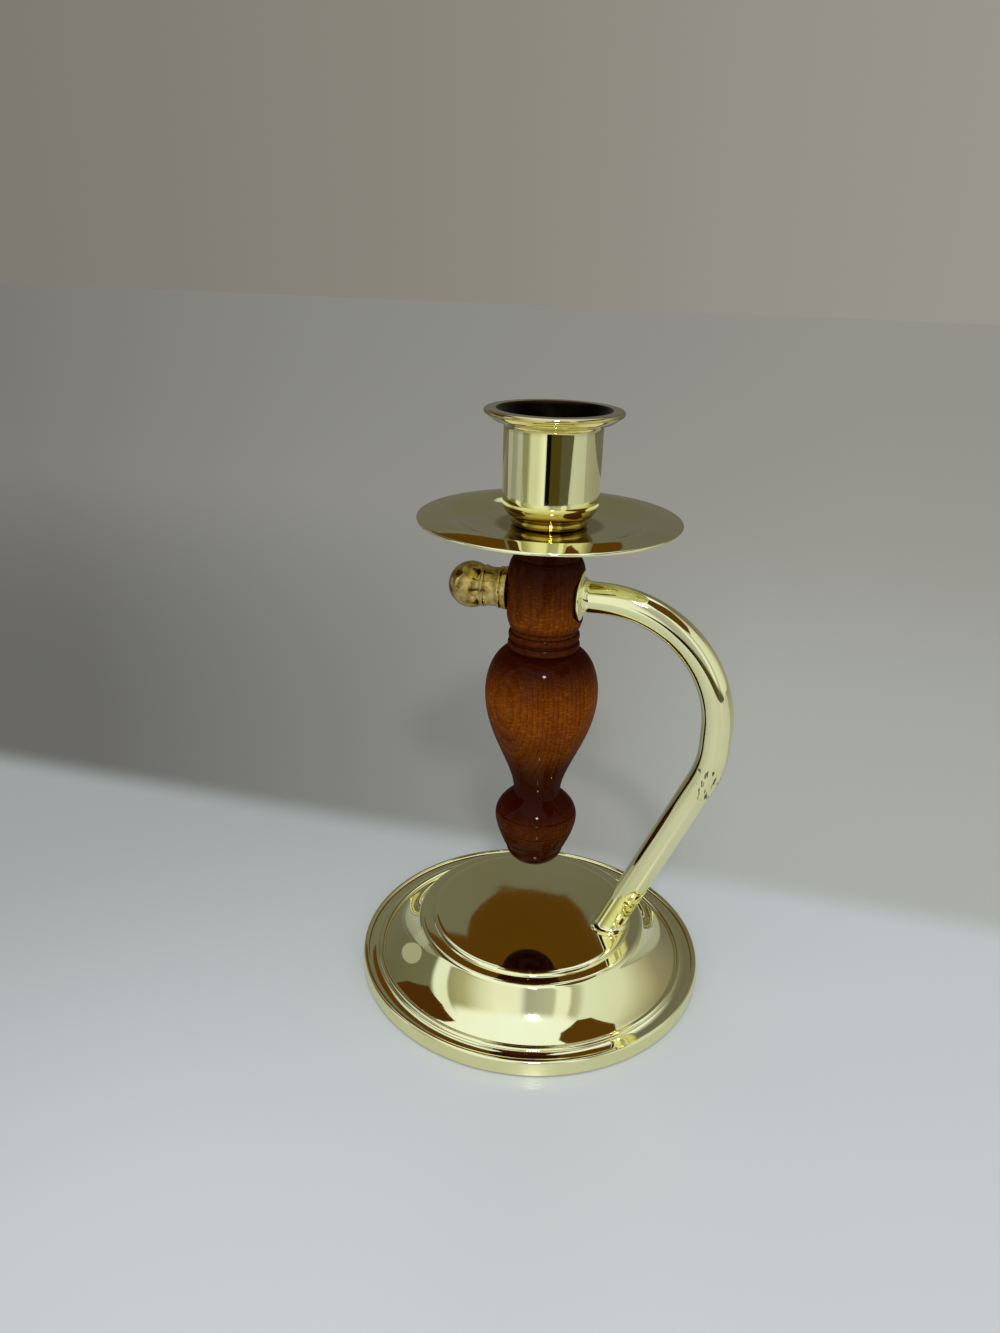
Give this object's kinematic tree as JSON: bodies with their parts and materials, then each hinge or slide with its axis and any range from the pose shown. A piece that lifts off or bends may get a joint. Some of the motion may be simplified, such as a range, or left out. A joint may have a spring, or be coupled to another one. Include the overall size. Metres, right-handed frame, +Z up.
{
  "type": "candle holder",
  "caption": "Gimballed candlestick: a turned wooden stem with a brass cup and drip pan swings freely on a bent brass arm above a weighted round base.",
  "frame": {"origin": "centre of the round base, on the underside of its felt", "axes": "+Z up along the candle; +X towards the arm, along the pivot; +Y completes the right-handed frame, away from the picture's side"},
  "size_m": [0.1027, 0.101, 0.1644],
  "materials": {
    "brass": "polished and lacquered",
    "aged_brass": "polished, browner with age",
    "red_wood": "stained red-brown, gloss lacquer",
    "steel": "bright zinc",
    "iron": "as cast",
    "ballast": "dull",
    "board": "smooth hardboard",
    "felt": "felt",
    "fibre": "vulcanised fibre"
  },
  "bodies": {
    "stand": {"base_shell": "brass", "base_weight": "iron", "base_plate": "board", "felt_pad": "felt", "arm": "brass", "arm_screw": "steel", "arm_washer": "steel", "pivot_pin": "steel", "thrust_washer_arm": "fibre", "thrust_washer_finial": "fibre", "finial_washer": "aged_brass", "finial": "aged_brass"},
    "stem": {"stem": "red_wood", "pivot_bushing": "brass", "stem_weight": "ballast", "stem_plug": "red_wood", "drip_pan": "brass", "candle_cup": "brass", "cup_washer": "steel", "cup_screw": "steel"}
  },
  "joints": [
    {"name": "stem_swing", "type": "hinge", "parent": "stand", "child": "stem", "pos_m": [0, 0, 0.117], "axis": [1, 0, 0], "continuous": true}
  ]
}
